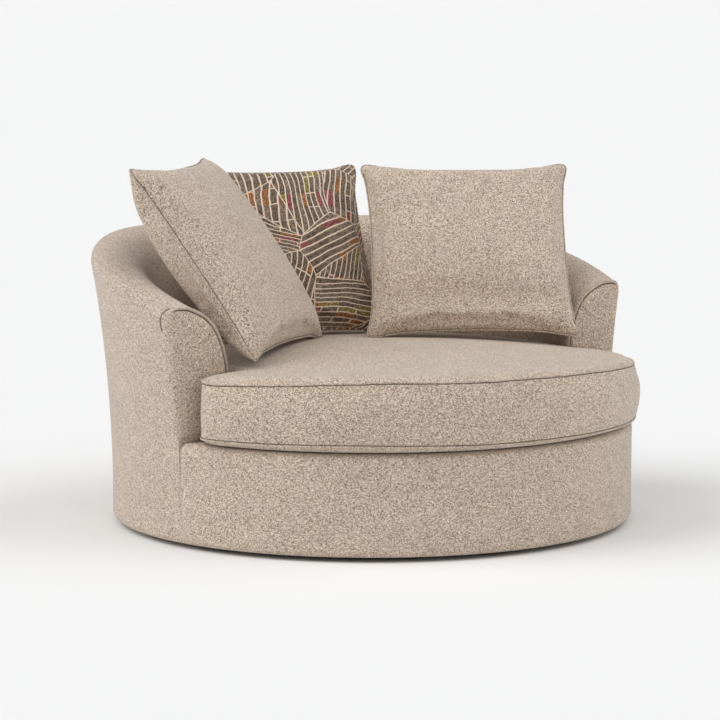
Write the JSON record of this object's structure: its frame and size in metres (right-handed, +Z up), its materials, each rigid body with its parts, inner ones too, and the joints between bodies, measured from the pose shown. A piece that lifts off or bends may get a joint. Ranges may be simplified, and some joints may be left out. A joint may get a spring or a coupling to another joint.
{
  "type": "swivel accent chair",
  "caption": "Round fabric tub chair on a full-turn swivel foot, with sloping rolled arms, a T-shaped boxed seat cushion and loose scatter pillows.",
  "frame": {"origin": "on the floor, on the swivel axis, under the middle of the foot", "axes": "+Z up along the swivel axis, -Y towards the front of the seat, +X towards the right arm as seen from the front"},
  "size_m": [1.477, 1.4797, 0.9571],
  "materials": {
    "oatmeal_fabric": "heathered light beige tweed, matte",
    "patterned_fabric": "dark taupe woven cloth with cream, rust, wine and olive fields, matte",
    "padding": "off-white foam and wadding",
    "black_cloth": "thin black non-woven cloth",
    "webbing": "dark woven elastic straps",
    "plywood": "raw birch plywood",
    "pine": "raw planed softwood",
    "fibreboard": "raw thin fibreboard",
    "bearing_steel": "black enamelled pressed steel",
    "ball_steel": "polished steel",
    "black_plastic": "black moulded plastic"
  },
  "bodies": {
    "floor_base": {"foot_disc": "plywood", "floor_glides": "black_plastic", "lower_bearing_plate": "bearing_steel"},
    "bearing_cage": {"ball_cage": "black_plastic", "bearing_balls": "ball_steel"},
    "chair_body": {"upper_bearing_plate": "bearing_steel", "bottom_ring": "plywood", "dust_cover": "black_cloth", "swivel_bearers": "pine", "outside_cover": "oatmeal_fabric", "inside_cover": "oatmeal_fabric", "tub_padding": "padding", "outer_panel": "fibreboard", "inner_panel": "fibreboard", "top_rail": "pine", "frame_posts": "pine", "front_posts": "pine", "front_rail": "plywood", "seat_ring": "plywood", "left_arm_board": "plywood", "left_arm_facing": "oatmeal_fabric", "left_facing_pad": "padding", "right_arm_board": "plywood", "right_arm_facing": "oatmeal_fabric", "right_facing_pad": "padding", "front_border_cover": "oatmeal_fabric", "front_border_pad": "padding", "webbing_lengthwise": "webbing", "webbing_crosswise": "webbing", "deck_pad": "padding", "deck_cover": "black_cloth"},
    "seat_cushion": {"seat_cushion_cover": "oatmeal_fabric", "seat_cushion_core": "padding"},
    "left_pillow_body": {"left_pillow": "oatmeal_fabric"},
    "patterned_pillow_body": {"patterned_pillow": "patterned_fabric"},
    "right_pillow_body": {"right_pillow": "oatmeal_fabric"}
  },
  "joints": [
    {"name": "swivel", "type": "hinge", "parent": "floor_base", "child": "chair_body", "pos_m": [0, 0, 0.0267], "axis": [0, 0, 1], "continuous": true},
    {"name": "cage_spin", "type": "hinge", "parent": "floor_base", "child": "bearing_cage", "pos_m": [0, 0, 0.0267], "axis": [0, 0, 1], "continuous": true},
    {"name": "cushion_lift", "type": "slide", "parent": "chair_body", "child": "seat_cushion", "axis": [0, 0, 1], "range_m": [0, 0.3]},
    {"name": "left_pillow_lift", "type": "slide", "parent": "seat_cushion", "child": "left_pillow_body", "axis": [0, 0, 1], "range_m": [0, 0.2]},
    {"name": "patterned_pillow_lift", "type": "slide", "parent": "seat_cushion", "child": "patterned_pillow_body", "axis": [0.1391, 0.5416, 0.829], "range_m": [0, 0.2]},
    {"name": "right_pillow_lift", "type": "slide", "parent": "seat_cushion", "child": "right_pillow_body", "axis": [0, 0, 1], "range_m": [0, 0.2]}
  ],
  "couplings": [
    {"joint": "cage_spin", "follows": "swivel", "ratio": 0.5}
  ]
}
